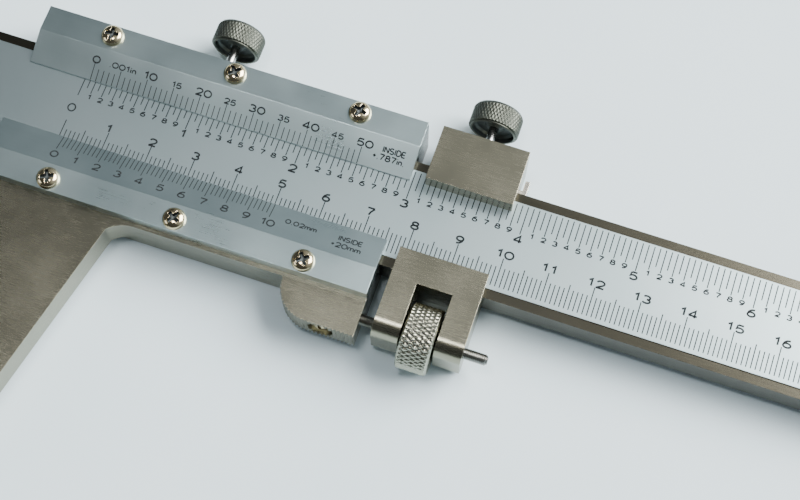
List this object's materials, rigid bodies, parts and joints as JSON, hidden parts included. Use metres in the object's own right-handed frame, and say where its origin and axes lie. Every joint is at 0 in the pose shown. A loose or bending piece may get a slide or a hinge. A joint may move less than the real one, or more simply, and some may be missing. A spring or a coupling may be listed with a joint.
{
  "type": "vernier caliper",
  "caption": "Long-beam vernier caliper with nib jaws, bevelled inch and millimetre vernier plates, clamp screws and a fine-adjustment carriage.",
  "frame": {"origin": "centre of the fixed jaw's measuring face, which is the plane that the closed jaws meet on", "axes": "+X along the beam, from the fixed jaw to the slider and the beam's free end; +Y from the jaw tips to the beam; +Z out of the graduated scale face"},
  "size_m": [0.6326, 0.1439, 0.0145],
  "materials": {
    "scale_chrome": "satin",
    "plate_chrome": "satin",
    "ground_steel": "ground",
    "nickel_screws": "polished",
    "spring_steel": "bright",
    "dark_steel": "satin",
    "knurled_steel": "knurled",
    "knurled_bright": "knurled",
    "graduation_ink": "matte"
  },
  "bodies": {
    "frame": {"main_beam": "scale_chrome", "fixed_jaw": "ground_steel", "jaw_rivets": "ground_steel", "end_stop_screw": "nickel_screws"},
    "slider": {"slider_body": "ground_steel", "upper_vernier_plate": "plate_chrome", "lower_vernier_plate": "plate_chrome", "upper_plate_screws": "nickel_screws", "lower_plate_screws": "nickel_screws", "slider_gib": "spring_steel", "gib_set_screws": "dark_steel", "finger_rest": "ground_steel", "finger_rest_screw": "nickel_screws", "fine_adjust_rod": "dark_steel", "rod_pin": "ground_steel"},
    "slider_clamp_stem": {"slider_clamp_stem": "dark_steel"},
    "slider_clamp_knob": {"slider_clamp_knob": "knurled_steel"},
    "carriage": {"carriage_body": "ground_steel", "carriage_gib": "spring_steel"},
    "carriage_clamp_stem": {"carriage_clamp_stem": "dark_steel"},
    "carriage_clamp_knob": {"carriage_clamp_knob": "knurled_steel"},
    "adjusting_nut": {"fine_adjust_nut": "knurled_bright"}
  },
  "joints": [
    {"name": "slider_travel", "type": "slide", "parent": "frame", "child": "slider", "axis": [1, 0, 0], "range_m": [-0.00122, 0.44876]},
    {"name": "slider_clamp_travel", "type": "slide", "parent": "slider", "child": "slider_clamp_stem", "axis": [0, 1, 0], "range_m": [0, 0.001]},
    {"name": "slider_clamp_turn", "type": "hinge", "parent": "slider_clamp_stem", "child": "slider_clamp_knob", "pos_m": [0.0558, 0.0924, -0.00013], "axis": [0, 1, 0], "range_deg": [0, 720]},
    {"name": "carriage_travel", "type": "slide", "parent": "slider", "child": "carriage", "axis": [1, 0, 0], "range_m": [-0.003, 0.004]},
    {"name": "carriage_clamp_travel", "type": "slide", "parent": "carriage", "child": "carriage_clamp_stem", "axis": [0, 1, 0], "range_m": [0, 0.001]},
    {"name": "carriage_clamp_turn", "type": "hinge", "parent": "carriage_clamp_stem", "child": "carriage_clamp_knob", "pos_m": [0.1167, 0.0924, -0.00013], "axis": [0, 1, 0], "range_deg": [0, 720]},
    {"name": "nut_turn", "type": "hinge", "parent": "carriage", "child": "adjusting_nut", "pos_m": [0.1167, 0.0379, 0.00081], "axis": [1, 0, 0], "range_deg": [-2160, 2880]}
  ],
  "couplings": [
    {"joint": "slider_clamp_turn", "follows": "slider_clamp_travel", "rad_per_m": 12566},
    {"joint": "carriage_clamp_turn", "follows": "carriage_clamp_travel", "rad_per_m": 12566},
    {"joint": "nut_turn", "follows": "carriage_travel", "rad_per_m": 12566}
  ]
}
